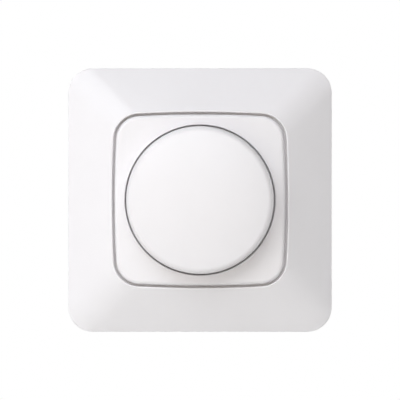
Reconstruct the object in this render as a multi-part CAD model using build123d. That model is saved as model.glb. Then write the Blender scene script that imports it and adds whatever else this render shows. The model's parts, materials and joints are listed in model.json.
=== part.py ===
from build123d import *
import os
from math import cos, hypot, radians, sin, sqrt

# Rotary dimmer switch for a 60 mm wall box: a white square cover frame, a centre plate with a
# round recess, a push knob that turns in it, and the insert behind the wall that they fit on.
# Every piece is modelled lying on its back: +z points out of the wall at the user, +y is up on
# the wall, and z = 0 is the wall face. At the end each piece is stood up against the wall.
# All sizes are in millimetres.

# Fits that several pieces share
running_gap = 0.05      # around a shaft or a slider, on each side
seat_gap = 0.15         # around a piece that drops into its seat, on each side
press_travel = 1.5      # how far the knob goes in
press_clearance = 0.4   # left over when the knob is fully in

# Cover frame
frame_width = 85.0
frame_corner = 8.0
frame_rim = 3.0         # straight edge at the wall, before the slope starts
frame_height = 10.6     # wall to the crest of the slope
frame_wall = 2.0
rim_radius = 0.4
lip_radius = 0.35       # rounds the crest over into the opening
ledge_depth = 3.5       # crest down to the ledge that the centre plate sits on
ledge_gauge = 1.5
ledge_clearance = 0.4
frame_rib_gauge = 1.2
frame_rib_offset = 21.0
frame_rib_lift = 0.8    # ribs end this far above the support plate
screw_head_room = 2.8   # notch over each box screw
screw_head_width = 10.0

# Centre plate
plate_width = 55.1      # between the middles of opposite sides
plate_corner = 7.6
side_bow = 0.97         # how far each side bulges
plate_gap = 0.75        # groove between plate and frame
plate_edge = 1.2
plate_wall = 1.6
recess_depth = 3.2
recess_chamfer = 0.15
lug_offset = 18.5
lug_width = 6.0
lug_gauge = 1.6
lug_tip = 0.3           # lugs stop this far from the wall face

# Knob
knob_diameter = 47.6
knob_gap = 0.45
knob_height = 12.5      # crown above the centre plate
knob_crown = 2.4
knob_edge = 2.2
knob_wall = 2.0
knob_top = 2.2
knob_draft = 0.15
hub_diameter = 10.5
knob_rib_gauge = 1.2
knob_rib_depth = 2.4
knob_rib_count = 6
clip_leaf_gauge = 0.4
clip_leaf_width = 3.4
clip_foot = 1.4

# Bush, nuts and shaft of the rotary control
bush_diameter = 10.0
bush_standout = 0.6     # bush above the fixing nut
bush_chamfer = 0.5
flange_gauge = 2.0
shaft_diameter = 6.0
shaft_flat = 1.5        # depth of the flat
shaft_reach = 5.5       # shaft inside the knob
tail_reach = 0.6        # shaft past the back of the control
nut_across = 14.0
fixing_nut_height = 2.5
fixing_washer_gauge = 0.6
fixing_washer_diameter = 16.0
lock_nut_height = 2.0
lock_washer_gauge = 0.5
lock_washer_teeth = 12
ring_clip_gauge = 0.6
ring_clip_diameter = 9.2
ring_clip_groove = 0.6  # radial depth in the shaft
ring_clip_mouth = 3.0

# Rotary control
case_diameter = 17.0
case_wall = 0.4
wafer_gauge = 1.0
wafer_hole_diameter = 4.4
tongue_width = 12.0
tongue_reach = 1.9      # wafer past the case, for the pins
track_inner = 4.6
track_outer = 6.8
track_gauge = 0.1
turn_range = 285.0
stop_half_angle = 15.0
stop_slack_angle = 2.5
stop_depth = 0.7
rotor_diameter = 13.6
rotor_hub_diameter = 8.4
rotor_gauge = 2.0
wiper_height = 2.4
wiper_gauge = 0.2
wiper_width = 1.8
pin_pitch = 4.0
pin_width = 0.9

# Push switch behind the rotary control
switch_width = 13.0
switch_height = 7.0
switch_lip = 1.2
switch_floor = 0.8
plunger_head_diameter = 4.0
plunger_head = 0.7
plunger_flange_diameter = 5.2
plunger_flange = 1.8
spring_diameter = 4.2
spring_wire = 0.4
spring_turns = 3.0
switch_pin_spacing = 9.0

# Support plate
support_width = 71.0
support_corner = 6.0
support_gauge = 1.2
support_window_gap = 0.8    # round the lock nut's corners
box_screw_spacing = 60.0
box_slot_width = 3.8
box_slot_length = 6.6

# Housing
housing_round = 56.0    # across the rounded corners
housing_across = 48.0   # across the flats
housing_wall = 1.6
housing_chamfer = 1.2
cover_gauge = 2.0
cover_overhang = 0.6    # cover past the housing, all round
boss_diameter = 5.4
vent_width = 1.6
vent_length = 14.0
vent_count = 4
vent_pitch = 3.6
vent_top = -4.0
side_vent_count = 5
side_vent_length = 9.0
rest_width = 3.0
driver_hole_diameter = 5.2

# Screws
screw_diameter = 3.0
screw_head_diameter = 5.5
screw_head_height = 1.6
screw_bite = 9.0        # housing screws in their bosses
screw_slot = 0.8

# Circuit board and what is soldered to it
board_gauge = 1.6
board_edge_gap = 0.4
solder_clearance = 2.6  # board to the rear wall
lead_width = 0.7
lead_tail = 1.2
lead_gap = 0.1

sink_gauge = 1.5
sink_width = 14.0
sink_foot = 7.2
sink_drop = 15.0        # cover down to the end of the upright leg
transistor_gap = 2.6    # rotary control to transistor
transistor_gauge = 3.2
transistor_width = 8.0
transistor_height = 11.0
transistor_stand = 3.0
transistor_hole = 8.0   # screw above the transistor's foot
transistor_pitch = 2.3
pad_gauge = 0.4

choke_gap = 1.0
choke_outer = 13.0
choke_inner = 6.5
choke_width = 6.0
winding_gauge = 0.8
winding_width = 1.2
winding_gap = 0.1
winding_turns = 14
winding_arc = 300.0

film_length = 15.0
film_width = 6.5
film_height = 11.0
film_gap = 3.0
film_corner = 0.8
film_pitch = 10.0

can_diameter = 6.3
can_height = 9.0
can_x = -12.0
can_y = -11.5
can_pitch = 2.5
can_groove = 0.35

trimmer_x = 12.0
trimmer_y = -11.5
trimmer_width = 5.5
trimmer_height = 3.5
trimmer_rotor_diameter = 4.2
trimmer_rotor_height = 1.8
trimmer_pocket = 1.4
trimmer_slot = 0.7
trimmer_pin_pitch = 2.5
trimmer_hole_diameter = 4.6

chip_length = 8.6
chip_width = 3.9
chip_height = 1.5
chip_lift = 0.1
chip_lead_pitch = 1.27
chip_lead_count = 6
chip_lead_width = 0.45
chip_lead_gauge = 0.2
chip_lead_reach = 1.0

# Screw terminals
terminal_count = 3
terminal_pitch = 8.8
cage_width = 7.2
cage_height = 8.0
cage_depth = 6.5
cage_wall = 1.0
cage_tail_width = 3.0
cage_tail_gauge = 0.8
cage_tail_length = 2.6  # on the board
block_wall = 1.2
block_roof = 2.4        # over the clamps, round the screw heads
entry_wall = 1.4
entry_width = 5.0
entry_height = 4.6
entry_funnel = 0.7
terminal_screw_diameter = 3.5
terminal_head_diameter = 4.2
terminal_head_height = 1.6
terminal_tip = 1.0      # screw below the roof of its cage

# Levels along the axis, from the crest of the frame back to the rear wall
opening_width = plate_width + 2 * plate_gap
opening_corner = plate_corner + plate_gap
plate_face = frame_height
ledge_top = frame_height - ledge_depth
recess_floor = plate_face - recess_depth
recess_radius = knob_diameter / 2 + knob_gap
plate_underside = recess_floor - plate_wall

washer_top = recess_floor + fixing_washer_gauge
nut_top = washer_top + fixing_nut_height
bush_tip = nut_top + bush_standout
hub_foot = bush_tip + press_travel + clip_leaf_gauge + press_clearance
shaft_tip = hub_foot + shaft_reach
knob_foot = recess_floor + press_travel + press_clearance
knob_shoulder = plate_face + knob_height - knob_crown
knob_ceiling = knob_shoulder - knob_top

cover_back = -cover_gauge
flange_back = cover_back - flange_gauge
ring_clip_front = flange_back - running_gap
ring_clip_back = ring_clip_front - ring_clip_gauge
rotor_front = ring_clip_back - press_travel - press_clearance
rotor_back = rotor_front - rotor_gauge
wafer_front = rotor_back - wiper_height
wafer_back = wafer_front - wafer_gauge
shaft_step = wafer_front + press_travel + press_clearance   # full shaft to tail
shaft_flat_end = rotor_front + press_travel + seat_gap
case_back = wafer_back - case_wall
tail_end = case_back - tail_reach
board_front = case_back - switch_height
board_back = board_front - board_gauge
lead_end = board_back - lead_tail
rear_inside = board_back - solder_clearance
rear_face = rear_inside - housing_wall

# Places across the axis
case_radius = case_diameter / 2
shaft_radius = shaft_diameter / 2
flat_height = shaft_radius - shaft_flat
tail_diameter = 2 * flat_height
boss_circle = housing_round / 2 - 0.75 * housing_wall - boss_diameter / 2
transistor_front = -(case_radius + transistor_gap)
transistor_rear = transistor_front - transistor_gauge
pad_rear = transistor_rear - pad_gauge
sink_rear = pad_rear - sink_gauge
sink_screw_x = sink_rear + (sink_gauge + sink_foot) / 2
transistor_foot = board_front + transistor_stand
choke_x = case_radius + choke_gap + winding_gauge + choke_width / 2
choke_z = board_front + choke_outer / 2 + winding_gauge + 2 * winding_gap
film_y = -(case_radius + film_gap + film_width / 2)
pin_y = -(case_radius + tongue_reach / 2)

# Screw terminals: the block stands flush in the rear wall, against the upper wall
chamber_width = cage_width + 2 * seat_gap
chamber_height = cage_height + 2 * seat_gap
block_width = (terminal_count - 1) * terminal_pitch + chamber_width + 2 * block_wall
block_inset = housing_wall + seat_gap
block_room = sqrt((housing_round / 2 - block_inset) ** 2 - (block_width / 2) ** 2)  # under the round wall
block_top = min(housing_across / 2 - block_inset, block_room)
block_bottom = block_top - block_roof - chamber_height - block_wall
chamber_bottom = block_bottom + block_wall
cage_bottom = chamber_bottom + seat_gap
cage_top = cage_bottom + cage_height
cage_back = rear_face + entry_wall + seat_gap
cage_front = cage_back + cage_depth
entry_bottom = cage_bottom + cage_wall
terminal_screw_z = (cage_back + cage_front) / 2
terminal_head_foot = cage_top + seat_gap
terminal_places = [(i - (terminal_count - 1) / 2) * terminal_pitch for i in range(terminal_count)]

# Leads through the board, by the piece that they belong to
pot_pin_places = [(i * pin_pitch, pin_y) for i in (-1, 0, 1)]
switch_pin_places = [
    (i * switch_pin_spacing / 2, j * switch_pin_spacing / 2) for i in (-1, 1) for j in (-1, 1)
]
transistor_lead_places = [
    ((transistor_front + transistor_rear) / 2, i * transistor_pitch) for i in (-1, 0, 1)
]
choke_lead_y = (choke_outer / 2 + winding_gauge) * sin(radians((360 - winding_arc) / 2))
choke_lead_places = [(choke_x, choke_lead_y), (choke_x, -choke_lead_y)]
film_lead_places = [(i * film_pitch / 2, film_y) for i in (-1, 1)]
can_lead_places = [(can_x + i * can_pitch / 2, can_y) for i in (-1, 1)]
trimmer_lead_places = [
    (trimmer_x + i * trimmer_pin_pitch / 2, trimmer_y + j * trimmer_pin_pitch / 2)
    for i, j in ((-1, -1), (1, -1), (0, 1))
]


def slab(outline, low, high):
    """An outline drawn on the wall face, as a solid between two levels."""
    return extrude(Pos(0, 0, low) * outline, amount=high - low)


def disc(diameter, low, high, x=0.0, y=0.0):
    """A round plug on an axis that points out of the wall."""
    return slab(Pos(x, y) * Circle(diameter / 2), low, high)


def ring(outer, inner, low, high):
    """A flat ring around the knob's axis."""
    return slab(Circle(outer / 2) - Circle(inner / 2), low, high)


def brick(x, y, z):
    """A block from its lowest to its highest x, y and z."""
    size = [high - low for low, high in (x, y, z)]
    middle = [(high + low) / 2 for low, high in (x, y, z)]
    return Pos(*middle) * Box(*size)


def quarter_turns(shape):
    """The shape, and its copies turned a quarter, a half and three quarters round the axis."""
    return [Rot(0, 0, angle) * shape for angle in (0, 90, 180, 270)]


def bowed_square(width, corner):
    """A square with bulging sides and rounded corners, its width taken between the middles of the sides."""
    half = width / 2
    end = half - side_bow
    sides = [
        ThreePointArc((end, end), (0, half), (-end, end)),
        ThreePointArc((-end, end), (-half, 0), (-end, -end)),
        ThreePointArc((-end, -end), (0, -half), (end, -end)),
        ThreePointArc((end, -end), (half, 0), (end, end)),
    ]
    outline = make_face(sides)
    return fillet(outline.vertices(), corner)


def flat_round(radius, flat):
    """A circle with one flat, which lies the given height above the axis."""
    return Circle(radius) & Pos(0, flat - radius) * Rectangle(2 * radius, 2 * radius)


def housing_outline(inset=0.0):
    """The round wall box's own circle with four flats, drawn in by the inset."""
    across = housing_across - 2 * inset
    return Circle(housing_round / 2 - inset) & Rectangle(across, across)


def leads(places, top, width=lead_width):
    """Square leads from a component down through the board."""
    return [
        brick((x - width / 2, x + width / 2), (y - width / 2, y + width / 2), (lead_end, top))
        for x, y in places
    ]


def hex_nut(low, high):
    """A nut on the bush, with its corners turned off at both ends."""
    across_corners = nut_across / cos(radians(30))
    turned = disc(across_corners, low, high)
    turned = chamfer(turned.edges().filter_by(GeomType.CIRCLE), (across_corners - nut_across) / 4)
    nut = slab(RegularPolygon(nut_across / 2, 6, major_radius=False), low, high) & turned
    return nut - disc(bush_diameter + 2 * running_gap, low, high)


def pan_screw(seat, length, diameter, head_diameter, head_height):
    """A slotted screw standing on the seat level, its head above and its shank below."""
    head = disc(head_diameter, seat, seat + head_height)
    head = chamfer(head.edges().group_by(Axis.Z)[-1], head_height / 4)
    slot = brick(
        (-head_diameter, head_diameter),
        (-screw_slot / 2, screw_slot / 2),
        (seat + head_height / 2, seat + head_height),
    )
    return head - slot + disc(diameter, seat - length, seat)


def cover_frame():
    """Moulded frame: sloping faces outside, a skirt and ledge round the opening, ribs behind."""
    rim = RectangleRounded(frame_width, frame_width, frame_corner)
    opening = bowed_square(opening_width, opening_corner)
    slope_faces = loft([Pos(0, 0, frame_rim) * rim, Pos(0, 0, frame_height) * opening], ruled=True)
    body = slab(rim, 0, frame_rim) + slope_faces
    body = fillet(body.edges().filter_by_position(Axis.Z, frame_rim, frame_rim), rim_radius)

    slope = (frame_height - frame_rim) / ((frame_width - opening_width) / 2)
    wall_drop = frame_wall * hypot(1, slope)
    skirt_width = opening_width + 2 * frame_wall
    inner_width = frame_width - 2 * frame_wall
    inner = RectangleRounded(inner_width, inner_width, frame_corner - frame_wall)
    skirt = bowed_square(skirt_width, opening_corner + frame_wall)
    shoulder = frame_rim + slope * frame_wall - wall_drop
    roof = frame_rim + slope * (frame_width - skirt_width) / 2 - wall_drop
    hollow = slab(inner, 0, shoulder)
    hollow += loft([Pos(0, 0, shoulder) * inner, Pos(0, 0, roof) * skirt], ruled=True)
    hollow -= slab(skirt, support_gauge, roof)

    for side in (-1, 1):
        rib_x = side * frame_rib_offset
        rib = brick(
            (rib_x - frame_rib_gauge / 2, rib_x + frame_rib_gauge / 2),
            (0, frame_width / 2),
            (support_gauge + frame_rib_lift, frame_height),
        )
        for turned in quarter_turns(rib):
            hollow -= turned

    ledge_opening = 2 * (recess_radius + plate_wall + ledge_clearance)
    ledge_corner = opening_corner - (opening_width - ledge_opening) / 2
    body -= hollow
    body -= slab(opening, ledge_top, frame_height)
    body -= slab(opening, 0, ledge_top - ledge_gauge)
    body -= slab(RectangleRounded(ledge_opening, ledge_opening, ledge_corner), 0, ledge_top)
    notch = brick(
        (-screw_head_width / 2, screw_head_width / 2),
        (0, skirt_width / 2 + seat_gap),
        (0, support_gauge + screw_head_room),
    )
    for turned in quarter_turns(notch):
        body -= turned
    crest = body.edges().filter_by_position(Axis.Z, frame_height, frame_height)
    return fillet(crest, lip_radius)


def centre_plate():
    """Moulded plate with a rounded edge and a round recess for the knob, held down by the fixing nut."""
    outline = bowed_square(plate_width, plate_corner)
    body = slab(outline, ledge_top, plate_face)
    body = fillet(body.edges().filter_by_position(Axis.Z, plate_face, plate_face), plate_edge)
    cup_diameter = 2 * (recess_radius + plate_wall)
    pocket = slab(
        bowed_square(plate_width - 2 * plate_wall, plate_corner - plate_wall),
        ledge_top,
        plate_face - plate_wall,
    )
    body -= pocket - disc(cup_diameter, ledge_top, plate_face)
    body += disc(cup_diameter, plate_underside, ledge_top)
    body -= disc(2 * recess_radius, recess_floor, plate_face)
    rim = body.edges().filter_by(GeomType.CIRCLE).filter_by_position(Axis.Z, plate_face, plate_face)
    body = chamfer(rim, recess_chamfer)
    for side in (-1, 1):
        lug_y = side * lug_offset
        body += brick(
            (-lug_width / 2, lug_width / 2),
            (lug_y - lug_gauge / 2, lug_y + lug_gauge / 2),
            (lug_tip, plate_underside),
        )
    return body - disc(bush_diameter + 2 * seat_gap, plate_underside, recess_floor)


def rotary_knob():
    """Moulded cap with a crowned face, and a hub with a flat that takes the shaft."""
    radius = knob_diameter / 2
    shoulder_radius = radius - knob_draft
    crown_radius = (shoulder_radius**2 + knob_crown**2) / (2 * knob_crown)
    crown_top = knob_shoulder + knob_crown
    profile = make_face(
        [
            RadiusArc((0, crown_top), (shoulder_radius, knob_shoulder), crown_radius),
            Polyline(
                (shoulder_radius, knob_shoulder),
                (radius, knob_foot),
                (radius - knob_wall, knob_foot),
                (radius - knob_wall, knob_ceiling),
                (hub_diameter / 2, knob_ceiling),
                (hub_diameter / 2, hub_foot),
                (0, hub_foot),
                (0, crown_top),
            ),
        ]
    )
    edge = profile.vertices().sort_by(Axis.X)[-2:].sort_by(Axis.Y)[-1]
    profile = fillet(edge, knob_edge)
    cap = revolve(Plane.XZ * profile, Axis.Z)
    rib = brick(
        (-knob_rib_gauge / 2, knob_rib_gauge / 2),
        (hub_diameter / 2 - knob_rib_gauge, radius - knob_wall + knob_draft),
        (knob_ceiling - knob_rib_depth, knob_ceiling),
    )
    for i in range(knob_rib_count):
        cap += Rot(0, 0, (i + 0.5) * 360 / knob_rib_count) * rib
    socket_flat = flat_height + clip_leaf_gauge + 2 * running_gap
    socket = flat_round(shaft_radius + running_gap, socket_flat)
    return cap - slab(socket, hub_foot, shaft_tip + seat_gap)


def knob_clip():
    """Spring leaf between the shaft's flat and the hub, with a foot hooked under the hub."""
    low_y = flat_height + running_gap
    half = clip_leaf_width / 2
    leaf = brick((-half, half), (low_y, low_y + clip_leaf_gauge), (hub_foot, shaft_tip))
    foot = brick((-half, half), (low_y, low_y + clip_foot), (hub_foot - clip_leaf_gauge, hub_foot))
    return leaf + foot


def fixing_nut():
    """Nut on the bush that holds the centre plate and the frame to the wall."""
    return hex_nut(washer_top, nut_top)


def fixing_washer():
    return ring(fixing_washer_diameter, bush_diameter + 2 * seat_gap, recess_floor, washer_top)


def bush():
    """Threaded bush of the rotary control, its flange behind the housing cover."""
    barrel = disc(bush_diameter, cover_back, bush_tip)
    barrel = chamfer(barrel.edges().group_by(Axis.Z)[-1], bush_chamfer)
    flange = disc(case_diameter, flange_back, cover_back)
    return barrel + flange - disc(shaft_diameter + 2 * running_gap, flange_back, bush_tip)


def lock_nut():
    """Nut that holds the rotary control to the housing cover."""
    return hex_nut(lock_washer_gauge, lock_washer_gauge + lock_nut_height)


def lock_washer():
    """Washer with teeth round its edge, under the lock nut."""
    body = ring(nut_across, bush_diameter + 2 * seat_gap, 0, lock_washer_gauge)
    tooth_gap = Pos(nut_across / 2, 0) * Rectangle(nut_across / 8, nut_across / 10)
    for i in range(lock_washer_teeth):
        body -= Rot(0, 0, i * 360 / lock_washer_teeth) * slab(tooth_gap, 0, lock_washer_gauge)
    return body


def shaft():
    """Shaft with a flat at both ends, a groove for its ring clip, and a tail for the switch."""
    body = disc(shaft_diameter, shaft_step, shaft_tip)
    flat_cut = brick(
        (-shaft_radius, shaft_radius), (flat_height, shaft_radius), (shaft_step, shaft_flat_end)
    )
    front_cut = brick(
        (-shaft_radius, shaft_radius), (flat_height, shaft_radius), (hub_foot - clip_leaf_gauge, shaft_tip)
    )
    groove = ring(shaft_diameter, shaft_diameter - 2 * ring_clip_groove, ring_clip_back, ring_clip_front)
    return body - flat_cut - front_cut - groove + disc(tail_diameter, tail_end, shaft_step)


def shaft_clip():
    """Open ring clip in the shaft's groove, which stops the shaft at the bush."""
    bore = shaft_diameter - 2 * ring_clip_groove + 2 * running_gap
    body = ring(ring_clip_diameter, bore, ring_clip_back + running_gap, ring_clip_front)
    mouth = brick(
        (-ring_clip_mouth / 2, ring_clip_mouth / 2),
        (-ring_clip_diameter, 0),
        (ring_clip_back, ring_clip_front),
    )
    return body - mouth


def stop_sector(outer, inner, middle, half_angle, low, high):
    """A piece of a ring, this far either side of its middle angle."""
    start = (outer * cos(radians(middle - half_angle)), outer * sin(radians(middle - half_angle)))
    peak = (outer * cos(radians(middle)), outer * sin(radians(middle)))
    end = (outer * cos(radians(middle + half_angle)), outer * sin(radians(middle + half_angle)))
    pie = make_face([ThreePointArc(start, peak, end), Polyline(end, (0, 0), start)])
    return slab(pie - Circle(inner), low, high)


def pot_case():
    """Drawn can of the rotary control, with an inner stop and a crimped edge behind the wafer."""
    bore = case_diameter - 2 * case_wall
    can = ring(case_diameter, bore, wafer_back, flange_back)
    crimp = ring(case_diameter, bore - 4 * case_wall, case_back, wafer_back)
    fixed_half = (360 - turn_range) / 2 - stop_half_angle - stop_slack_angle
    stop = stop_sector(case_radius, bore / 2 - stop_depth, 90, fixed_half, rotor_back, rotor_front)
    pin_window = brick(
        (-tongue_width / 2 - seat_gap, tongue_width / 2 + seat_gap),
        (-case_diameter, -case_radius / 2),
        (case_back, wafer_front + seat_gap),
    )
    return can + crimp + stop - pin_window


def track_wafer():
    """Insulating wafer that carries the carbon track, with a tongue for the pins."""
    bore = case_diameter - 2 * case_wall - 2 * running_gap
    body = disc(bore, wafer_back, wafer_front)
    body += brick(
        (-tongue_width / 2, tongue_width / 2),
        (-case_radius - tongue_reach, -case_radius / 2),
        (wafer_back, wafer_front),
    )
    body -= disc(wafer_hole_diameter, wafer_back, wafer_front)
    hole = pin_width + 2 * lead_gap
    for x, y in pot_pin_places:
        body -= slab(Pos(x, y) * Rectangle(hole, hole), wafer_back, wafer_front)
    return body


def carbon_track():
    """Horseshoe of carbon on the wafer, open at the pins."""
    body = ring(2 * track_outer, 2 * track_inner, wafer_front, wafer_front + track_gauge)
    mouth_half = (360 - turn_range) / 2
    mouth = stop_sector(
        2 * track_outer, track_inner / 2, 270, mouth_half, wafer_front, wafer_front + track_gauge
    )
    return body - mouth


def wiper_rotor():
    """Rotor that the shaft turns and slides through, with a lug that meets the stop in the case."""
    hub_back = wafer_front + track_gauge
    body = disc(rotor_diameter, rotor_back, rotor_front)
    body += disc(rotor_hub_diameter, hub_back, rotor_back)
    lug_reach = case_radius - case_wall - 2 * running_gap
    lug_middle = 90 - (360 - turn_range) / 2
    body += stop_sector(lug_reach, rotor_diameter / 4, lug_middle, stop_half_angle, rotor_back, rotor_front)
    bore = flat_round(shaft_radius + running_gap, flat_height + running_gap)
    return body - slab(bore, hub_back, rotor_front)


def wiper_contact():
    """Sprung strip under the rotor whose bent end runs on the carbon track."""
    track_top = wafer_front + track_gauge + running_gap
    middle = (track_inner + track_outer) / 2
    tip = middle - wiper_gauge
    profile = make_face(
        Polyline(
            (rotor_hub_diameter / 2 + running_gap, rotor_back),
            (track_outer, rotor_back),
            (track_outer, rotor_back - wiper_gauge),
            (middle + wiper_gauge, track_top),
            (tip, track_top),
            (tip, track_top + wiper_gauge),
            (middle, track_top + wiper_gauge),
            (track_outer - 2 * wiper_gauge, rotor_back - wiper_gauge),
            (rotor_hub_diameter / 2 + running_gap, rotor_back - wiper_gauge),
            close=True,
        )
    )
    strip = extrude(Plane.XZ * profile, amount=wiper_width / 2, both=True)
    return Rot(0, 0, 180) * strip


def pot_pins():
    """Three pins from the wafer's tongue down through the board."""
    return leads(pot_pin_places, wafer_front + pin_width, pin_width)


def switch_case():
    """Case of the push switch, bored for its plunger and spring."""
    half = switch_width / 2
    body = slab(RectangleRounded(switch_width, switch_width, switch_lip), board_front, case_back)
    body -= disc(plunger_head_diameter + 4 * running_gap, case_back - switch_lip, case_back)
    bore = plunger_flange_diameter + 4 * running_gap
    body -= disc(bore, board_front + switch_floor, case_back - switch_lip)
    for side in (-1, 1):
        body -= brick(
            (side * half - switch_floor / 2, side * half + switch_floor / 2),
            (-half / 2, half / 2),
            (board_front, board_front + switch_height / 2),
        )
    return body


def switch_plunger():
    """Plunger that the tail of the shaft pushes, kept in by its flange."""
    front = tail_end - running_gap
    head = disc(plunger_head_diameter, front - plunger_head, front)
    flange = disc(plunger_flange_diameter, front - plunger_head - plunger_flange, front - plunger_head)
    return head + flange


def return_spring():
    """Square-wire coil between the plunger and the floor of the switch."""
    floor = board_front + switch_floor
    top = tail_end - running_gap - plunger_head - plunger_flange
    coil_radius = spring_diameter / 2
    height = top - floor - spring_wire
    pitch = height / spring_turns
    path = Pos(0, 0, floor + spring_wire / 2) * Helix(pitch, height, coil_radius)
    section = Plane(path @ 0, x_dir=(1, 0, 0), z_dir=path % 0) * Rectangle(spring_wire, spring_wire)
    return sweep(section, path, is_frenet=True)


def switch_pins():
    return leads(switch_pin_places, board_front)


def support_plate():
    """Pressed steel plate that is screwed to the wall box and carries everything else."""
    body = slab(RectangleRounded(support_width, support_width, support_corner), 0, support_gauge)
    nut_corners = nut_across / cos(radians(30))
    holes = disc(nut_corners + 2 * support_window_gap, 0, support_gauge)
    slot = Pos(box_screw_spacing / 2, 0) * SlotOverall(box_slot_length, box_slot_width)
    for turned in quarter_turns(slab(slot, 0, support_gauge)):
        holes += turned
    screw_hole = disc(screw_diameter + 2 * seat_gap, 0, support_gauge, boss_circle)
    for turned in quarter_turns(Rot(0, 0, 45) * screw_hole):
        holes += turned
    for side in (-1, 1):
        lug_hole = Rectangle(lug_width + 2 * seat_gap, lug_gauge + 2 * seat_gap)
        holes += slab(Pos(0, side * lug_offset) * lug_hole, 0, support_gauge)
    holes += disc(screw_diameter + 2 * seat_gap, 0, support_gauge, sink_screw_x)
    holes += disc(trimmer_hole_diameter, 0, support_gauge, trimmer_x, trimmer_y)
    return body - holes


def housing_cover():
    """Moulded cover between the support plate and the housing."""
    body = slab(housing_outline(-cover_overhang), cover_back, 0)
    body -= disc(bush_diameter + 2 * seat_gap, cover_back, 0)
    body -= disc(trimmer_hole_diameter, cover_back, 0, trimmer_x, trimmer_y)
    screw_hole = disc(screw_diameter + 2 * seat_gap, cover_back, 0, boss_circle)
    for turned in quarter_turns(Rot(0, 0, 45) * screw_hole):
        body -= turned
    return body - brick(
        (sink_rear - seat_gap, sink_rear + sink_gauge + sink_foot + seat_gap),
        (-sink_width / 2 - seat_gap, sink_width / 2 + seat_gap),
        (cover_back, 0),
    )


def bevelled(outline):
    """The housing's full depth of an outline, with its rear edges broken."""
    body = slab(outline, rear_face, cover_back)
    return chamfer(body.edges().filter_by_position(Axis.Z, rear_face, rear_face), housing_chamfer)


def rear_housing():
    """Moulded box in the wall, with screw bosses, rests for the board, vents and the terminals' window."""
    body = bevelled(Circle(housing_round / 2)) & bevelled(Rectangle(housing_across, housing_across))
    body -= slab(housing_outline(housing_wall), rear_inside, cover_back)

    boss = disc(boss_diameter, rear_inside, cover_back, boss_circle)
    pilot_end = cover_back - screw_bite - seat_gap
    pilot = disc(screw_diameter + 2 * running_gap, pilot_end, cover_back, boss_circle)
    for turned in quarter_turns(Rot(0, 0, 45) * (boss - pilot)):
        body += turned

    reach = housing_across / 2 - housing_wall / 2
    rest = brick((reach - rest_width, reach), (-rest_width / 2, rest_width / 2), (rear_inside, board_back))
    for angle in (0, 180, 270):
        body += Rot(0, 0, angle) * rest

    body -= brick(
        (-block_width / 2 - seat_gap, block_width / 2 + seat_gap),
        (block_bottom - seat_gap, block_top + seat_gap),
        (rear_face, rear_inside),
    )
    for i in range(vent_count):
        vent = SlotOverall(vent_length, vent_width)
        body -= slab(Pos(0, vent_top - i * vent_pitch) * vent, rear_face, rear_inside)
    middle_z = (cover_back + rear_face) / 2
    for i in range(side_vent_count):
        vent_y = (i - (side_vent_count - 1) / 2) * vent_pitch
        body -= brick(
            (-housing_across, housing_across),
            (vent_y - vent_width / 2, vent_y + vent_width / 2),
            (middle_z - side_vent_length / 2, middle_z + side_vent_length / 2),
        )
    wall_room = housing_round / 2 - block_top
    for x in terminal_places:
        driver_hole = Cylinder(driver_hole_diameter / 2, wall_room, rotation=(90, 0, 0))
        body -= Pos(x, block_top + wall_room / 2, terminal_screw_z) * driver_hole
    return body


def housing_screws():
    """Four screws through the support plate and the cover into the housing."""
    length = support_gauge + cover_gauge + screw_bite
    screw = pan_screw(support_gauge, length, screw_diameter, screw_head_diameter, screw_head_height)
    return quarter_turns(Rot(0, 0, 45) * Pos(boss_circle, 0) * screw)


def heat_sink():
    """Aluminium angle: its foot lies in the cover on the support plate, its leg carries the transistor."""
    half = sink_width / 2
    leg = brick((sink_rear, pad_rear), (-half, half), (cover_back - sink_drop, 0))
    foot = brick((pad_rear, pad_rear + sink_foot), (-half, half), (cover_back, 0))
    body = leg + foot - disc(screw_diameter + 2 * running_gap, cover_back, 0, sink_screw_x)
    screw_z = transistor_foot + transistor_hole
    tapped = Cylinder(screw_diameter / 2 + running_gap, 4 * sink_gauge, rotation=(0, 90, 0))
    return body - Pos(sink_rear, 0, screw_z) * tapped


def sink_screw():
    """Screw through the support plate into the foot of the heat sink."""
    length = support_gauge + cover_gauge
    screw = pan_screw(support_gauge, length, screw_diameter, screw_head_diameter, screw_head_height)
    return Pos(sink_screw_x, 0) * screw


def side_screw_hole(low, high):
    """A hole for the transistor's screw, between two places across the wall."""
    body = Cylinder(screw_diameter / 2 + seat_gap, high - low, rotation=(0, 90, 0))
    return Pos((low + high) / 2, 0, transistor_foot + transistor_hole) * body


def power_transistor():
    """Flat power transistor, screwed by its middle to the heat sink."""
    half = transistor_width / 2
    body = brick(
        (transistor_rear, transistor_front),
        (-half, half),
        (transistor_foot, transistor_foot + transistor_height),
    )
    return body - side_screw_hole(transistor_rear, transistor_front)


def transistor_leads():
    return leads(transistor_lead_places, transistor_foot)


def insulating_pad():
    """Thin pad between the transistor and the heat sink."""
    half = transistor_width / 2
    body = brick(
        (pad_rear, transistor_rear), (-half, half), (transistor_foot, transistor_foot + transistor_height)
    )
    return body - side_screw_hole(pad_rear, transistor_rear)


def transistor_screw():
    """Screw that clamps the transistor to the heat sink."""
    length = transistor_gauge + pad_gauge + sink_gauge
    screw = pan_screw(0, length, screw_diameter, screw_head_diameter, screw_head_height)
    return Pos(transistor_front, 0, transistor_foot + transistor_hole) * Rot(0, 90, 0) * screw


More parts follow.
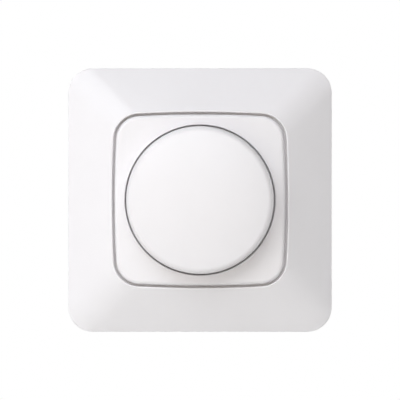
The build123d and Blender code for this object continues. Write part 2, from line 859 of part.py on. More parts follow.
def circuit_board():
    """Board with holes for every lead, cut back for the terminals and the screw bosses."""
    body = slab(housing_outline(housing_wall + board_edge_gap), board_back, board_front)
    body -= brick(
        (-housing_across / 2, housing_across / 2),
        (block_bottom - board_edge_gap, housing_across / 2),
        (board_back, board_front),
    )
    boss_hole = disc(boss_diameter + 2 * board_edge_gap, board_back, board_front, boss_circle)
    for turned in quarter_turns(Rot(0, 0, 45) * boss_hole):
        body -= turned
    hole = lead_width + 2 * lead_gap
    plain_leads = (
        switch_pin_places + transistor_lead_places + choke_lead_places
        + film_lead_places + can_lead_places + trimmer_lead_places
    )
    for x, y in plain_leads:
        body -= slab(Pos(x, y) * Rectangle(hole, hole), board_back, board_front)
    pin_hole = pin_width + 2 * lead_gap
    for x, y in pot_pin_places:
        body -= slab(Pos(x, y) * Rectangle(pin_hole, pin_hole), board_back, board_front)
    return body


def on_choke_axis(shape):
    """Turns a shape made round the upright axis to lie on the choke's own axis, across the wall."""
    return Pos(choke_x, 0, choke_z) * Rot(0, 90, 0) * shape


def choke_core():
    return on_choke_axis(ring(choke_outer, choke_inner, -choke_width / 2, choke_width / 2))


def choke_winding():
    """Turns of wire round the core, side by side in its bore, with both ends led to the board."""
    outer = choke_outer / 2 + winding_gap
    inner = sqrt((choke_inner / 2) ** 2 - (winding_width / 2) ** 2) - winding_gap
    side = choke_width / 2 + winding_gap
    half = winding_width / 2
    loop = brick(
        (inner - winding_gauge, outer + winding_gauge),
        (-half, half),
        (-side - winding_gauge, side + winding_gauge),
    )
    loop -= brick((inner, outer), (-half, half), (-side, side))
    start = (360 - winding_arc) / 2
    step = winding_arc / (winding_turns - 1)
    turns = Part()
    for i in range(winding_turns):
        turns += Rot(0, 0, start + i * step) * loop
    body = on_choke_axis(turns)
    lead_top = choke_z - (outer + winding_gauge / 2) * cos(radians(start))
    for lead in leads(choke_lead_places, lead_top):
        body += lead
    return body


def film_capacitor():
    """Boxed suppression capacitor on two leads."""
    body = slab(
        Pos(0, film_y) * RectangleRounded(film_length, film_width, film_corner),
        board_front,
        board_front + film_height,
    )
    for lead in leads(film_lead_places, board_front):
        body += lead
    return body


def can_capacitor():
    """Round electrolytic capacitor with a crimp near its foot, on two leads."""
    crimp = board_front + can_height / 6
    body = disc(can_diameter, board_front, board_front + can_height, can_x, can_y)
    body -= Pos(can_x, can_y) * ring(
        can_diameter, can_diameter - 2 * can_groove, crimp, crimp + 2 * can_groove
    )
    for lead in leads(can_lead_places, board_front):
        body += lead
    return body


def trimmer_base():
    """Body of the trimmer that sets the lowest brightness, on three leads."""
    half = trimmer_width / 2
    top = board_front + trimmer_height
    body = brick(
        (trimmer_x - half, trimmer_x + half), (trimmer_y - half, trimmer_y + half), (board_front, top)
    )
    body -= disc(
        trimmer_rotor_diameter + 4 * running_gap, top - trimmer_pocket, top, trimmer_x, trimmer_y
    )
    for lead in leads(trimmer_lead_places, board_front):
        body += lead
    return body


def trimmer_rotor():
    """Cross-slotted rotor of the trimmer, reached through the cover with a screwdriver."""
    foot = board_front + trimmer_height - trimmer_pocket + running_gap
    top = foot + trimmer_rotor_height
    body = disc(trimmer_rotor_diameter, foot, top)
    arm = trimmer_rotor_diameter / 2
    slot = brick((-arm, arm), (-trimmer_slot / 2, trimmer_slot / 2), (top - trimmer_rotor_height / 2, top))
    return Pos(trimmer_x, trimmer_y) * (body - slot - Rot(0, 0, 90) * slot)


def controller_chip():
    """Small chip on the back of the board, with a row of bent leads on each long side."""
    top = board_back - chip_lift
    body = brick(
        (-chip_length / 2, chip_length / 2), (-chip_width / 2, chip_width / 2), (top - chip_height, top)
    )
    knee = chip_width / 2 + chip_lead_reach / 2
    toe = chip_width / 2 + chip_lead_reach
    middle = top - chip_height / 2
    profile = make_face(
        Polyline(
            (chip_width / 2, middle),
            (knee + chip_lead_gauge / 2, middle),
            (knee + chip_lead_gauge / 2, board_back - chip_lead_gauge),
            (toe, board_back - chip_lead_gauge),
            (toe, board_back),
            (knee - chip_lead_gauge / 2, board_back),
            (knee - chip_lead_gauge / 2, middle + chip_lead_gauge),
            (chip_width / 2, middle + chip_lead_gauge),
            close=True,
        )
    )
    lead = extrude(Plane.YZ * profile, amount=chip_lead_width / 2, both=True)
    for i in range(chip_lead_count):
        x = (i - (chip_lead_count - 1) / 2) * chip_lead_pitch
        body += Pos(x, 0) * lead
        body += Pos(x, 0) * Rot(0, 0, 180) * lead
    return body


def terminal_block():
    """Moulded block with a chamber for each clamp, wire entries behind and screw holes above."""
    body = brick(
        (-block_width / 2, block_width / 2), (block_bottom, block_top), (rear_face, cage_front + seat_gap)
    )
    body &= slab(housing_outline(housing_wall + seat_gap), rear_face, cage_front + seat_gap)
    chamber_top = chamber_bottom + chamber_height
    for x in terminal_places:
        half = chamber_width / 2
        body -= brick(
            (x - half, x + half),
            (chamber_bottom, chamber_top),
            (rear_face + entry_wall, cage_front + seat_gap),
        )
        entry_y = entry_bottom + entry_height / 2
        mouth = Pos(x, entry_y) * Rectangle(entry_width, entry_height)
        flared = Rectangle(entry_width + 2 * entry_funnel, entry_height + 2 * entry_funnel)
        funnel = Pos(x, entry_y) * flared
        body -= slab(mouth, rear_face, rear_face + entry_wall)
        body -= loft([Pos(0, 0, rear_face) * funnel, Pos(0, 0, rear_face + entry_funnel) * mouth])
        screw_hole = Cylinder(terminal_head_diameter / 2 + seat_gap, 2 * block_roof, rotation=(90, 0, 0))
        body -= Pos(x, block_top, terminal_screw_z) * screw_hole
        tail_half = cage_tail_width / 2 + seat_gap
        body -= brick(
            (x - tail_half, x + tail_half),
            (block_bottom, chamber_bottom),
            (board_front - seat_gap, board_front + cage_tail_gauge + seat_gap),
        )
    return body


def terminal_cages():
    """Three square clamps, each with a tail soldered to the front of the board."""
    cages = []
    for x in terminal_places:
        half = cage_width / 2
        inner = half - cage_wall
        cage = brick((x - half, x + half), (cage_bottom, cage_top), (cage_back, cage_front))
        cage -= brick(
            (x - inner, x + inner), (cage_bottom + cage_wall, cage_top - cage_wall), (cage_back, cage_front)
        )
        tapped = Cylinder(terminal_screw_diameter / 2 + running_gap, 4 * cage_wall, rotation=(90, 0, 0))
        cage -= Pos(x, cage_top, terminal_screw_z) * tapped
        cage += brick(
            (x - cage_tail_width / 2, x + cage_tail_width / 2),
            (block_bottom - cage_tail_length, cage_bottom),
            (board_front, board_front + cage_tail_gauge),
        )
        cages.append(cage)
    return cages


def terminal_screws():
    """Three clamp screws, backed off so that a wire can go in."""
    roof = cage_top - cage_wall
    length = terminal_head_foot - roof + terminal_tip
    screw = pan_screw(
        0, length, terminal_screw_diameter, terminal_head_diameter, terminal_head_height
    )
    upright = Rot(-90, 0, 0) * screw
    return [Pos(x, terminal_head_foot, terminal_screw_z) * upright for x in terminal_places]


pieces = {
    "cover_frame": cover_frame(),
    "centre_plate": centre_plate(),
    "rotary_knob": rotary_knob(),
    "knob_clip": knob_clip(),
    "fixing_nut": fixing_nut(),
    "fixing_washer": fixing_washer(),
    "bush": bush(),
    "lock_nut": lock_nut(),
    "lock_washer": lock_washer(),
    "shaft": shaft(),
    "shaft_clip": shaft_clip(),
    "pot_case": pot_case(),
    "track_wafer": track_wafer(),
    "carbon_track": carbon_track(),
    "wiper_rotor": wiper_rotor(),
    "wiper_contact": wiper_contact(),
    "pot_pins": pot_pins(),
    "switch_case": switch_case(),
    "switch_plunger": switch_plunger(),
    "return_spring": return_spring(),
    "switch_pins": switch_pins(),
    "support_plate": support_plate(),
    "housing_cover": housing_cover(),
    "rear_housing": rear_housing(),
    "housing_screws": housing_screws(),
    "heat_sink": heat_sink(),
    "sink_screw": sink_screw(),
    "power_transistor": power_transistor(),
    "transistor_leads": transistor_leads(),
    "insulating_pad": insulating_pad(),
    "transistor_screw": transistor_screw(),
    "circuit_board": circuit_board(),
    "choke_core": choke_core(),
    "choke_winding": choke_winding(),
    "film_capacitor": film_capacitor(),
    "can_capacitor": can_capacitor(),
    "trimmer_base": trimmer_base(),
    "trimmer_rotor": trimmer_rotor(),
    "controller_chip": controller_chip(),
    "terminal_block": terminal_block(),
    "terminal_cages": terminal_cages(),
    "terminal_screws": terminal_screws(),
}

# Stood up on the wall: the front faces -Y, and what was +y is up
stand_up = Plane.XZ.location
os.makedirs("parts", exist_ok=True)
for name, piece in pieces.items():
    solids = piece if isinstance(piece, list) else [piece]
    stood = [stand_up * body for solid in solids for body in solid.solids()]
    export_step(stood[0] if len(stood) == 1 else Compound(stood), f"parts/{name}.step")
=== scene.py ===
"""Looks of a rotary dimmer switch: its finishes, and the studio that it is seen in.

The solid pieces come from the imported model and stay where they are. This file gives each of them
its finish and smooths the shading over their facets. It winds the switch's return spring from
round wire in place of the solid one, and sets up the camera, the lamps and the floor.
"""

import json
import math

import bpy
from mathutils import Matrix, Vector


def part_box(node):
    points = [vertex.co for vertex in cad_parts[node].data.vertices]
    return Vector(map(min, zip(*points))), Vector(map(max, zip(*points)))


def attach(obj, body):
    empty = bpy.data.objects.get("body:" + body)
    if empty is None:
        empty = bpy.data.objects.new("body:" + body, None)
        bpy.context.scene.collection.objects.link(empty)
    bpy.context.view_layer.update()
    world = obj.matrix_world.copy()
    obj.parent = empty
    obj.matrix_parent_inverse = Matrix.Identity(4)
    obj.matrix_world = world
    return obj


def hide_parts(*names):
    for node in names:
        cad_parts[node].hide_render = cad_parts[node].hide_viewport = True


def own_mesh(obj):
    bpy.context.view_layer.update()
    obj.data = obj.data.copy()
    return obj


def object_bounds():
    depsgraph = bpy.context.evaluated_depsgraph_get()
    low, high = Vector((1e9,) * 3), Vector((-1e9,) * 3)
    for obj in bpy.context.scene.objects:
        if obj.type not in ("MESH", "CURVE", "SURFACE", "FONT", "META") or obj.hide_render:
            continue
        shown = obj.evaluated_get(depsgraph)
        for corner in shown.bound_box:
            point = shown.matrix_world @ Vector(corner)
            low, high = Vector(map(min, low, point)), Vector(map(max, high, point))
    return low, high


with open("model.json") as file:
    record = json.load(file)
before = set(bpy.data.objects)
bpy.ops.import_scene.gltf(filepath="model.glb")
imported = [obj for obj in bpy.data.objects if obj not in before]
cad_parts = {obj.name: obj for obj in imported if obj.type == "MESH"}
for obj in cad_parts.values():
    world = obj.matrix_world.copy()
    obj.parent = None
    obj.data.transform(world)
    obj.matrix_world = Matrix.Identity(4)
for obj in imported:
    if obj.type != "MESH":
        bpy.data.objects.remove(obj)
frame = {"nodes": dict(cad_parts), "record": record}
CAD_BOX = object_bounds()

bl_info = {
    "name": "Rotary dimmer switch",
    "version": (1, 0, 0),
    "blender": (4, 5, 0),
    "location": "3D View > Sidebar > Dimmer",
    "description": "Gives a rotary dimmer switch its finishes and its studio",
    "category": "Object",
}

MM = 0.001
SENSOR = 36.0               # width of the camera's sensor in mm
WELD = 0.0005 * MM          # corners of facets this close are one corner
WIRE_SIDES = 12             # round a wire
TURN_STEPS = 36             # along one turn of a wire
WHITE_STRENGTH = 1.0        # light of this strength shows as white
SMOOTHER = "smooth_facets"  # name of the group that smooths the facets' shading
NOISE_LOW, NOISE_HIGH = 0.3, 0.7                # noise hardly leaves this range
MIX_FROM, MIX_TO, MIX_COLOUR = 6, 7, 2          # sockets of a Mix node that carry colours

# Ways in which spots are drawn out: not at all, along one axis, or in the plane of a turning tool
ALL_WAYS = (1.0, 1.0, 1.0)
ACROSS = (0.2, 1.0, 1.0)
FAR_ACROSS = (0.04, 1.0, 1.0)
INWARDS = (1.0, 0.06, 1.0)
UPWARDS = (1.0, 1.0, 0.05)
AROUND = (0.2, 1.0, 0.2)

# Which finish each piece was given in the record
SLOTS = {row["node"]: row["material_slot"] for row in frame["record"]["subparts"]}

# Lamps: name, degrees left of the camera, degrees above it, distance and side of the square face
# in metres, power in watts, colour
LAMPS = (
    ("high", 0, 30, 0.6, 0.40, 1.20, "#F8FBFF"),
    ("key", 38, 36, 0.6, 0.36, 0.80, "#ECF5FF"),
    ("near_key", 20, 20, 0.6, 0.30, 0.36, "#FDFEF8"),
    ("left", 45, 0, 0.6, 0.40, 0.33, "#FFF5EA"),
    ("side", 70, 0, 0.6, 0.40, 0.54, "#FDFAFF"),
    ("low", 0, -14, 0.6, 0.50, 0.82, "#FFF3E0"),
    ("right", -20, 45, 0.6, 0.40, 0.20, "#FFF6FF"),
    ("rear_high", 150, 35, 0.8, 0.80, 4.2, "#FFFFFF"),
    ("rear_low", -135, 10, 0.9, 0.80, 3.6, "#FFFFFF"),
)


def linear(code):
    """An sRGB hex colour as linear red, green, blue and a full alpha."""
    shares = [int(code[i:i + 2], 16) / 255 for i in (1, 3, 5)]
    return (*(s / 12.92 if s <= 0.04045 else ((s + 0.055) / 1.055) ** 2.4 for s in shares), 1.0)


def colour_setting(name, description, code):
    """A colour that a user may change."""
    return bpy.props.FloatVectorProperty(
        name=name, description=description, default=linear(code), size=4, min=0.0, max=1.0,
        subtype="COLOR")


def length_setting(name, description, metres):
    """A length that a user may change."""
    return bpy.props.FloatProperty(
        name=name, description=description, default=metres, unit="LENGTH")


class DimmerLooks(bpy.types.PropertyGroup):
    """Colours of the finishes that show, and how facets are smoothed."""

    white: colour_setting("White", "Front pieces, where the moulding is palest", "#F4F2F4")
    white_shade: colour_setting("White shade", "Front pieces, in the flow's clouds", "#F2F0F2")
    zinc: colour_setting("Zinc", "Bright crystals of the plating", "#C1C5C9")
    zinc_shade: colour_setting("Zinc shade", "Dull crystals of the plating", "#B3B9BE")
    grey: colour_setting("Grey", "Housing, palest", "#74767A")
    grey_shade: colour_setting("Grey shade", "Housing, darkest", "#686A6E")
    black: colour_setting("Black", "Black mouldings, palest", "#2E2F31")
    black_shade: colour_setting("Black shade", "Black mouldings, darkest", "#242527")
    smooth_angle: bpy.props.FloatProperty(
        name="Smooth angle", description="Facets that meet at less than this are shaded as one",
        default=math.radians(30), subtype="ANGLE")


class DimmerSpring(bpy.types.PropertyGroup):
    """Return spring of the push switch."""

    wire: length_setting("Wire", "Thickness of the round wire", 0.4 * MM)
    turns: bpy.props.IntProperty(name="Turns", description="Turns of the wire", default=3, min=1)


class DimmerStage(bpy.types.PropertyGroup):
    """Camera, surroundings and floor."""

    view_width: length_setting("View width", "Width of the picture at the object", 129.15 * MM)
    camera_distance: length_setting("Camera distance", "From the camera to the wall plane", 3.0)
    floor_drop: length_setting("Floor drop", "From the frame's lower edge to the floor", 60 * MM)
    floor_reach: length_setting("Floor reach", "From the object's middle to the floor's edge", 0.3)
    shadow_reach: length_setting("Shadow reach", "From the object's middle to where white sets in",
                                 0.1)
    floor_colour: colour_setting("Floor", "Colour of the floor", "#ECECEA")
    floor_glow: bpy.props.FloatProperty(
        name="Floor glow", description="Lifts the lit floor to white, and leaves the shadow darker",
        default=0.2, min=0.0, subtype="FACTOR")
    ambient: bpy.props.FloatProperty(
        name="Ambient", description="Strength of the light that comes from all round",
        default=0.04, min=0.0, subtype="FACTOR")


def add_node(tree, kind, settings=None, values=None, links=None):
    """Adds a node, with its settings, the values of its sockets and what is linked to them."""
    node = tree.nodes.new(kind)
    for name, value in (settings or {}).items():
        setattr(node, name, value)
    for socket, value in (values or {}).items():
        node.inputs[socket].default_value = value
    for socket, source in (links or {}).items():
        tree.links.new(source, node.inputs[socket])
    return node


def blank_finish(name):
    """A material with no nodes yet."""
    material = bpy.data.materials.new(name)
    material.use_nodes = True
    material.node_tree.nodes.clear()
    return material


def mottle(material, size_mm, stretch=ALL_WAYS, detail=2.0):
    """Soft spots of about this size all over a piece, as a share from 0 to 1.

    A stretch below 1 draws them out along that axis.
    """
    tree = material.node_tree
    place = add_node(tree, "ShaderNodeTexCoord")
    drawn = add_node(tree, "ShaderNodeMapping", {}, {"Scale": stretch},
                     {"Vector": place.outputs["Object"]})
    noise = add_node(tree, "ShaderNodeTexNoise", {},
                     {"Scale": 1 / (size_mm * MM), "Detail": detail}, {"Vector": drawn.outputs[0]})
    share = add_node(tree, "ShaderNodeMapRange", {},
                     {"From Min": NOISE_LOW, "From Max": NOISE_HIGH}, {"Value": noise.outputs[0]})
    return share.outputs[0]


def complete(material, colour, roughness, relief, **constants):
    """Adds the shader, with its constant sockets.

    Colour and roughness are each a share and the two values that it goes between. Relief is a
    share and the depth in mm by which the surface rises with it.
    """
    tree = material.node_tree
    tint = add_node(tree, "ShaderNodeMix", {"data_type": "RGBA"},
                    {MIX_FROM: colour[1], MIX_TO: colour[2]}, {"Factor": colour[0]})
    gloss = add_node(tree, "ShaderNodeMapRange", {},
                     {"To Min": roughness[1], "To Max": roughness[2]}, {"Value": roughness[0]})
    bump = add_node(tree, "ShaderNodeBump", {}, {"Distance": relief[1] * MM},
                    {"Height": relief[0]})
    shader = add_node(tree, "ShaderNodeBsdfPrincipled", {}, constants,
                      {"Base Color": tint.outputs[MIX_COLOUR], "Roughness": gloss.outputs[0],
                       "Normal": bump.outputs[0]})
    add_node(tree, "ShaderNodeOutputMaterial", links={"Surface": shader.outputs[0]})
    return material


def white_finish(name, looks):
    # Moulded ABS from a polished tool with a satin last pass: an even, slightly cool white with
    # soft highlights, and a flow that shows only as the faintest cloud.
    material = blank_finish(name)
    cloud = mottle(material, size_mm=22.0)
    sheen = mottle(material, size_mm=3.0)
    # The grain is some 0.05 mm on the real one, and is drawn at 0.3 mm so that it shows.
    grain = mottle(material, size_mm=0.3)
    return complete(material, colour=(cloud, looks.white_shade, looks.white),
                    roughness=(sheen, 0.33, 0.40), relief=(grain, 0.0015), IOR=1.53)


def zinc_finish(name, looks):
    # Rolled steel, blanked and then zinc plated: a cool grey sheen with long rolling lines, and
    # small bright and dull crystals.
    material = blank_finish(name)
    lines = mottle(material, size_mm=0.5, stretch=FAR_ACROSS)
    crystals = mottle(material, size_mm=2.2, detail=4.0)
    return complete(material, colour=(crystals, looks.zinc_shade, looks.zinc),
                    roughness=(lines, 0.26, 0.44), relief=(lines, 0.004), Metallic=1.0)


def grey_finish(name, looks):
    # Glass-filled PBT from a spark-eroded tool: a flat grey with a close, pebbly grain.
    material = blank_finish(name)
    cloud = mottle(material, size_mm=9.0)
    sheen = mottle(material, size_mm=1.2)
    # Eroded pits are about 0.1 mm across, and are drawn at 0.45 mm so that they show.
    pits = mottle(material, size_mm=0.45, detail=3.0)
    return complete(material, colour=(cloud, looks.grey_shade, looks.grey),
                    roughness=(sheen, 0.50, 0.64), relief=(pits, 0.02), IOR=1.55)


def black_finish(name, looks):
    # Flame-retardant nylon, moulded black: satin, with a little bloom in broad patches.
    material = blank_finish(name)
    bloom = mottle(material, size_mm=5.0)
    sheen = mottle(material, size_mm=2.0)
    grain = mottle(material, size_mm=0.35)
    return complete(material, colour=(bloom, looks.black_shade, looks.black),
                    roughness=(sheen, 0.36, 0.50), relief=(grain, 0.004), IOR=1.53)


MAIN_FINISHES = {
    "white_plastic": ("moulded_white_ABS", white_finish),
    "zinc_steel": ("zinc_plated_steel", zinc_finish),
    "grey_plastic": ("spark_eroded_grey_PBT", grey_finish),
    "black_plastic": ("moulded_black_PA66", black_finish),
}

# Finishes of the pieces inside: name, darkest and palest colour, size of the colour's spots in mm,
# smoothest and roughest, size and depth of the grain in mm, its stretch, constant sockets
METAL = {"Metallic": 1.0}
INNER_FINISHES = {
    # Natural nylon: creamy, matt and a little waxy.
    "nylon": ("natural_nylon", "#D2CBB8", "#E0DACA", 4.0,
              (0.42, 0.55), 0.4, 0.003, ALL_WAYS, {"IOR": 1.53}),
    # Pressed paper laminate: brown, with the fibres of the sheets showing.
    "phenolic": ("paper_laminate", "#6E431F", "#86552B", 1.6,
                 (0.38, 0.55), 0.4, 0.004, ACROSS, {}),
    # Printed carbon film: dead black, polished a little where the wiper runs.
    "carbon": ("printed_carbon", "#17171A", "#242427", 0.8,
               (0.30, 0.48), 0.3, 0.002, ALL_WAYS, {}),
    # Moulded epoxy: charcoal, with the matt grain of a package mould.
    "epoxy": ("moulded_epoxy", "#1B1B1C", "#262627", 1.5,
              (0.50, 0.66), 0.2, 0.004, ALL_WAYS, {}),
    # Polyester box of a film capacitor: glossy ochre.
    "capacitor_case": ("ochre_polyester", "#B8912A", "#C9A03A", 4.0,
                       (0.18, 0.28), 0.5, 0.002, ALL_WAYS, {}),
    # Shrunk PVC sleeve: dark blue and glossy, drawn tight in faint rings.
    "capacitor_sleeve": ("shrunk_PVC", "#1E2746", "#2A345A", 3.0,
                         (0.16, 0.28), 0.5, 0.006, INWARDS, {}),
    # Lacquered glass laminate: green, with the weave of the cloth under a gloss.
    "board_laminate": ("glass_laminate", "#1C5130", "#2A6B42", 1.1,
                       (0.18, 0.32), 0.5, 0.004, ALL_WAYS, {}),
    # Filled silicone sheet: soft grey and dusty.
    "silicone": ("silicone_sheet", "#82868A", "#95999D", 2.0,
                 (0.62, 0.78), 0.3, 0.003, ALL_WAYS, {}),
    # Pressed iron powder under a lacquer: dark, with the unevenness of the pressing.
    "ferrite": ("coated_iron_powder", "#2A2A2D", "#37373B", 1.4,
                (0.35, 0.55), 0.4, 0.010, ALL_WAYS, {}),
    # Hardened and polished spring steel: darker than the plating.
    "spring_steel": ("polished_spring_steel", "#989CA2", "#B0B4B9", 1.0,
                     (0.22, 0.34), 0.4, 0.002, UPWARDS, METAL),
    # Dipped tin on copper: a soft silver with dull streaks.
    "tinned_copper": ("tin_on_copper", "#B4B4B0", "#CBCBC6", 0.9,
                      (0.24, 0.42), 0.4, 0.003, UPWARDS, METAL),
    # Turned brass: warm yellow, with close tool marks.
    "plain_brass": ("turned_brass", "#B8934C", "#CFAC62", 2.0,
                    (0.20, 0.34), 0.25, 0.003, AROUND, METAL),
    # Rolled phosphor bronze: redder than the brass.
    "bronze": ("rolled_bronze", "#A9713F", "#C08650", 1.5,
               (0.24, 0.38), 0.4, 0.002, ACROSS, METAL),
    # Enamelled copper wire: a red-brown lacquer over bright metal.
    "copper_wire": ("enamelled_copper", "#9A4A22", "#B75D30", 1.2,
                    (0.14, 0.26), 0.5, 0.002, ALL_WAYS, METAL),
    # Aluminium left as it was rolled: pale, with rolling lines.
    "plain_aluminium": ("mill_aluminium", "#BFC1C4", "#D5D7D9", 3.0,
                        (0.30, 0.46), 0.4, 0.003, UPWARDS, METAL),
}


def inner_finish(name, dark, light, spot_mm, roughness, grain_mm, depth_mm, stretch, constants):
    """A finish with one cloud of colour, and one grain for roughness and relief."""
    material = blank_finish(name)
    grain = mottle(material, grain_mm, stretch)
    cloud = mottle(material, spot_mm)
    return complete(material, colour=(cloud, linear(dark), linear(light)),
                    roughness=(grain, *roughness), relief=(grain, depth_mm), **constants)


def finish_for(slot, looks):
    """The finish of a slot, made the first time that a piece asks for it."""
    if slot in MAIN_FINISHES:
        name, maker = MAIN_FINISHES[slot]
        return bpy.data.materials.get(name) or maker(name, looks)
    name, *about = INNER_FINISHES[slot]
    return bpy.data.materials.get(name) or inner_finish(name, *about)


def smoothing_group(angle):
    """Joins the facets of a piece and shades them as one, up to edges sharper than the angle."""
    group = bpy.data.node_groups.new(SMOOTHER, "GeometryNodeTree")
    for way in ("INPUT", "OUTPUT"):
        group.interface.new_socket("Geometry", in_out=way, socket_type="NodeSocketGeometry")
    start = add_node(group, "NodeGroupInput")
    joined = add_node(group, "GeometryNodeMergeByDistance", {}, {"Distance": WELD},
                      {"Geometry": start.outputs[0]})
    faces = add_node(group, "GeometryNodeSetShadeSmooth", {"domain": "FACE"},
                     {"Shade Smooth": True}, {"Geometry": joined.outputs[0]})
    turn = add_node(group, "GeometryNodeInputMeshEdgeAngle")
    gentle = add_node(group, "FunctionNodeCompare", {"operation": "LESS_THAN"}, {"B": angle},
                      {"A": turn.outputs["Unsigned Angle"]})
    edges = add_node(group, "GeometryNodeSetShadeSmooth", {"domain": "EDGE"}, {},
                     {"Geometry": faces.outputs[0], "Shade Smooth": gentle.outputs[0]})
    add_node(group, "NodeGroupOutput", links={0: edges.outputs[0]})
    return group


def dress(*names):
    """Gives pieces the finish of their slot, and smooths the shading of their facets."""
    looks = bpy.context.scene.dimmer_looks
    group = bpy.data.node_groups.get(SMOOTHER) or smoothing_group(looks.smooth_angle)
    for name in names:
        if name not in frame["nodes"]:
            raise RuntimeError(f"the packed model has no piece named {name}")
        piece = frame["nodes"][name]
        for slot in piece.material_slots:
            slot.material = finish_for(SLOTS[name], looks)
        piece.modifiers.new(SMOOTHER, "NODES").node_group = group
        piece.modifiers.new("flat_faces_first", "WEIGHTED_NORMAL").keep_sharp = True


class DIMMER_OT_front(bpy.types.Operator):
    """Finishes the white pieces that show on the wall: frame, centre plate and knob"""
    bl_idname = "dimmer.front"
    bl_label = "White front"

    def execute(self, context):
        dress("cover_frame", "centre_plate", "rotary_knob")
        return {"FINISHED"}


class DIMMER_OT_fixings(bpy.types.Operator):
    """Finishes the support plate, the clips, and every nut, washer and screw but the terminals'"""
    bl_idname = "dimmer.fixings"
    bl_label = "Support plate and fixings"

    def execute(self, context):
        dress("support_plate", "fixing_nut", "fixing_washer", "lock_nut", "lock_washer",
              "knob_clip", "shaft_clip", "housing_screws", "sink_screw", "transistor_screw")
        return {"FINISHED"}


class DIMMER_OT_housing(bpy.types.Operator):
    """Finishes the housing that sits in the wall, and its cover"""
    bl_idname = "dimmer.housing"
    bl_label = "Housing"

    def execute(self, context):
        dress("rear_housing", "housing_cover")
        return {"FINISHED"}


class DIMMER_OT_control(bpy.types.Operator):
    """Finishes the rotary control, from its bush and shaft to its pins"""
    bl_idname = "dimmer.control"
    bl_label = "Rotary control"

    def execute(self, context):
        dress("bush", "shaft", "pot_case", "track_wafer", "carbon_track", "wiper_rotor",
              "wiper_contact", "pot_pins")
        return {"FINISHED"}


class DIMMER_OT_switch(bpy.types.Operator):
    """Finishes the push switch behind the rotary control, but for its spring"""
    bl_idname = "dimmer.switch"
    bl_label = "Push switch"

    def execute(self, context):
        dress("switch_case", "switch_plunger", "switch_pins")
        return {"FINISHED"}


def wind_coil(low, high, wire, turns):
    """A round wire wound round the Y axis to fill a box, with both ends closed."""
    bpy.ops.object.select_all(action="DESELECT")
    bpy.ops.mesh.primitive_circle_add(
        vertices=WIRE_SIDES, radius=wire / 2,
        location=(high[0] - wire / 2, low[1] + wire / 2, 0))
    bpy.ops.object.transform_apply(location=True, rotation=False, scale=False)
    coil = bpy.context.object
    wind = coil.modifiers.new("wind", "SCREW")
    wind.axis = "Y"
    wind.iterations = turns
    wind.screw_offset = (high[1] - low[1] - wire) / turns
    wind.steps = wind.render_steps = TURN_STEPS
    bpy.ops.object.modifier_apply(modifier=wind.name)
    bpy.ops.object.mode_set(mode="EDIT")
    bpy.ops.mesh.select_all(action="SELECT")
    bpy.ops.mesh.remove_doubles(threshold=WELD)
    bpy.ops.mesh.fill_holes(sides=0)
    bpy.ops.mesh.normals_make_consistent(inside=False)
    bpy.ops.object.mode_set(mode="OBJECT")
    return coil


class DIMMER_OT_spring(bpy.types.Operator):
    """Winds the return spring from round wire, in place of the solid spring"""
    bl_idname = "dimmer.spring"
    bl_label = "Return spring"

    def execute(self, context):
        looks, sizes = context.scene.dimmer_looks, context.scene.dimmer_spring
        low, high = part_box("return_spring")
        coil = wind_coil(low, high, sizes.wire, sizes.turns)
        coil.name = "return_coil"
        coil.data.materials.append(finish_for(SLOTS["return_spring"], looks))
        bpy.ops.object.shade_smooth_by_angle(angle=looks.smooth_angle)
        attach(coil, "insert")
        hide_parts("return_spring")
        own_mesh(coil)
        return {"FINISHED"}


class DIMMER_OT_board(bpy.types.Operator):
    """Finishes the circuit board, and what is soldered or screwed round it"""
    bl_idname = "dimmer.board"
    bl_label = "Circuit board"

    def execute(self, context):
        dress("circuit_board", "heat_sink", "power_transistor", "transistor_leads",
              "insulating_pad", "choke_core", "choke_winding", "film_capacitor", "can_capacitor",
              "trimmer_base", "trimmer_rotor", "controller_chip")
        return {"FINISHED"}


class DIMMER_OT_terminals(bpy.types.Operator):
    """Finishes the terminal block, its clamps and their screws"""
    bl_idname = "dimmer.terminals"
    bl_label = "Wire terminals"

    def execute(self, context):
        dress("terminal_block", "terminal_cages", "terminal_screws")
        return {"FINISHED"}


def add_camera(scene, stage):
    """A long lens straight in front, so that the outline stays square."""
    data = bpy.data.cameras.new("camera")
    data.sensor_width = SENSOR
    data.lens = SENSOR * stage.camera_distance / stage.view_width
    camera = bpy.data.objects.new("camera", data)
    camera.location = (0, -stage.camera_distance, 0)
    camera.rotation_euler = (math.radians(90), 0, 0)    # raised from looking down to looking ahead
    scene.collection.objects.link(camera)
    scene.camera = camera


def add_lamp(name, angle, height, distance, side, power, code):
    """A square soft box that faces the middle of the object."""
    data = bpy.data.lights.new(name, "AREA")
    data.shape = "SQUARE"
    data.size = side
    data.energy = power
    data.color = linear(code)[:3]
    lamp = bpy.data.objects.new(name, data)
    turn, lift = math.radians(angle), math.radians(height)
    level = math.cos(lift)
    way = Vector((-math.sin(turn) * level, -math.cos(turn) * level, math.sin(lift)))
    lamp.location = way * distance
    lamp.rotation_euler = way.to_track_quat("Z", "Y").to_euler()
    bpy.context.scene.collection.objects.link(lamp)


def seen_directly(tree):
    """Is 1 for what the camera, a reflection or a clear material sees, and 0 for lighting."""
    path = add_node(tree, "ShaderNodeLightPath")
    first = add_node(tree, "ShaderNodeMath", {"operation": "MAXIMUM"}, {},
                     {0: path.outputs["Is Camera Ray"], 1: path.outputs["Is Glossy Ray"]})
    both = add_node(tree, "ShaderNodeMath", {"operation": "MAXIMUM"}, {},
                    {0: first.outputs[0], 1: path.outputs["Is Transmission Ray"]})
    return both.outputs[0]


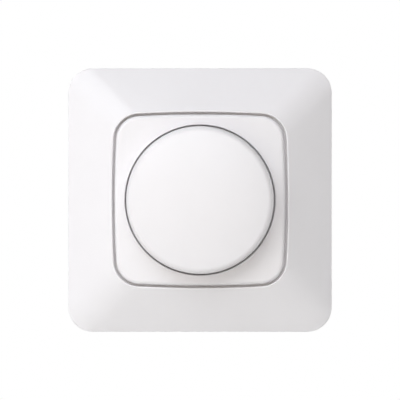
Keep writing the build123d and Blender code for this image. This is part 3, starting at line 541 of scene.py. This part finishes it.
def add_surroundings(scene, stage):
    """White all round to the eye, and a low even light on the surfaces."""
    world = bpy.data.worlds.new("white_studio")
    world.use_nodes = True
    tree = world.node_tree
    tree.nodes.clear()
    white = linear("#FFFFFF")
    lit = add_node(tree, "ShaderNodeBackground", {}, {"Color": white, "Strength": stage.ambient})
    seen = add_node(tree, "ShaderNodeBackground", {}, {"Color": white, "Strength": WHITE_STRENGTH})
    mixed = add_node(tree, "ShaderNodeMixShader", {}, {},
                     {0: seen_directly(tree), 1: lit.outputs[0], 2: seen.outputs[0]})
    add_node(tree, "ShaderNodeOutputWorld", links={"Surface": mixed.outputs[0]})
    scene.world = world


def add_floor(stage):
    """A pale floor below the object, which keeps its shadow and grows white towards its edge."""
    low = CAD_BOX[0][2] - stage.floor_drop
    bpy.ops.object.select_all(action="DESELECT")
    bpy.ops.mesh.primitive_plane_add(size=2 * stage.floor_reach, location=(0, 0, low))
    bpy.ops.object.transform_apply(location=True, rotation=False, scale=False)
    floor = bpy.context.object
    floor.name = "floor"
    material = blank_finish("painted_floor")
    tree = material.node_tree
    paint = add_node(tree, "ShaderNodeBsdfDiffuse", {}, {"Color": stage.floor_colour})
    place = add_node(tree, "ShaderNodeTexCoord")
    # The floor's height doesn't count in how far a place is from the middle.
    level = add_node(tree, "ShaderNodeMapping", {}, {"Scale": (1.0, 1.0, 0.0)},
                     {"Vector": place.outputs["Object"]})
    away = add_node(tree, "ShaderNodeVectorMath", {"operation": "LENGTH"}, {},
                    {0: level.outputs[0]})
    rise = add_node(tree, "ShaderNodeMapRange", {"interpolation_type": "SMOOTHSTEP"},
                    {"From Min": stage.shadow_reach, "From Max": stage.floor_reach,
                     "To Min": stage.floor_glow, "To Max": WHITE_STRENGTH},
                    {"Value": away.outputs["Value"]})
    strength = add_node(tree, "ShaderNodeMath", {"operation": "MULTIPLY"}, {},
                        {0: rise.outputs[0], 1: seen_directly(tree)})
    glow = add_node(tree, "ShaderNodeEmission", {}, {}, {"Strength": strength.outputs[0]})
    both = add_node(tree, "ShaderNodeAddShader", {}, {}, {0: paint.outputs[0], 1: glow.outputs[0]})
    add_node(tree, "ShaderNodeOutputMaterial", links={"Surface": both.outputs[0]})
    floor.data.materials.append(material)


class DIMMER_OT_stage(bpy.types.Operator):
    """Sets up the camera, the lamps, the white surroundings and the floor"""
    bl_idname = "dimmer.stage"
    bl_label = "Stage"

    def execute(self, context):
        stage = context.scene.dimmer_stage
        context.scene.view_settings.view_transform = "Standard"
        add_camera(context.scene, stage)
        for lamp in LAMPS:
            add_lamp(*lamp)
        add_surroundings(context.scene, stage)
        add_floor(stage)
        return {"FINISHED"}


class DIMMER_PT_panel(bpy.types.Panel):
    """Lists the steps that finish the dimmer, and its settings"""
    bl_idname = "DIMMER_PT_panel"
    bl_label = "Rotary dimmer switch"
    bl_space_type = "VIEW_3D"
    bl_region_type = "UI"
    bl_category = "Dimmer"

    def draw(self, context):
        for operator in OPERATORS:
            self.layout.operator(operator.bl_idname)
        scene = context.scene
        for group in (scene.dimmer_looks, scene.dimmer_spring, scene.dimmer_stage):
            for setting in group.__annotations__:
                self.layout.prop(group, setting)


OPERATORS = (
    DIMMER_OT_front,
    DIMMER_OT_fixings,
    DIMMER_OT_housing,
    DIMMER_OT_control,
    DIMMER_OT_switch,
    DIMMER_OT_spring,
    DIMMER_OT_board,
    DIMMER_OT_terminals,
    DIMMER_OT_stage,
)
CLASSES = (DimmerLooks, DimmerSpring, DimmerStage, *OPERATORS, DIMMER_PT_panel)


def register():
    for cls in CLASSES:
        bpy.utils.register_class(cls)
    bpy.types.Scene.dimmer_looks = bpy.props.PointerProperty(type=DimmerLooks)
    bpy.types.Scene.dimmer_spring = bpy.props.PointerProperty(type=DimmerSpring)
    bpy.types.Scene.dimmer_stage = bpy.props.PointerProperty(type=DimmerStage)


def unregister():
    del bpy.types.Scene.dimmer_stage
    del bpy.types.Scene.dimmer_spring
    del bpy.types.Scene.dimmer_looks
    for cls in reversed(CLASSES):
        bpy.utils.unregister_class(cls)


def main():
    register()
    bpy.ops.dimmer.front()
    bpy.ops.dimmer.fixings()
    bpy.ops.dimmer.housing()
    bpy.ops.dimmer.control()
    bpy.ops.dimmer.switch()
    bpy.ops.dimmer.spring()
    bpy.ops.dimmer.board()
    bpy.ops.dimmer.terminals()
    bpy.ops.dimmer.stage()


if __name__ == "__main__":
    main()
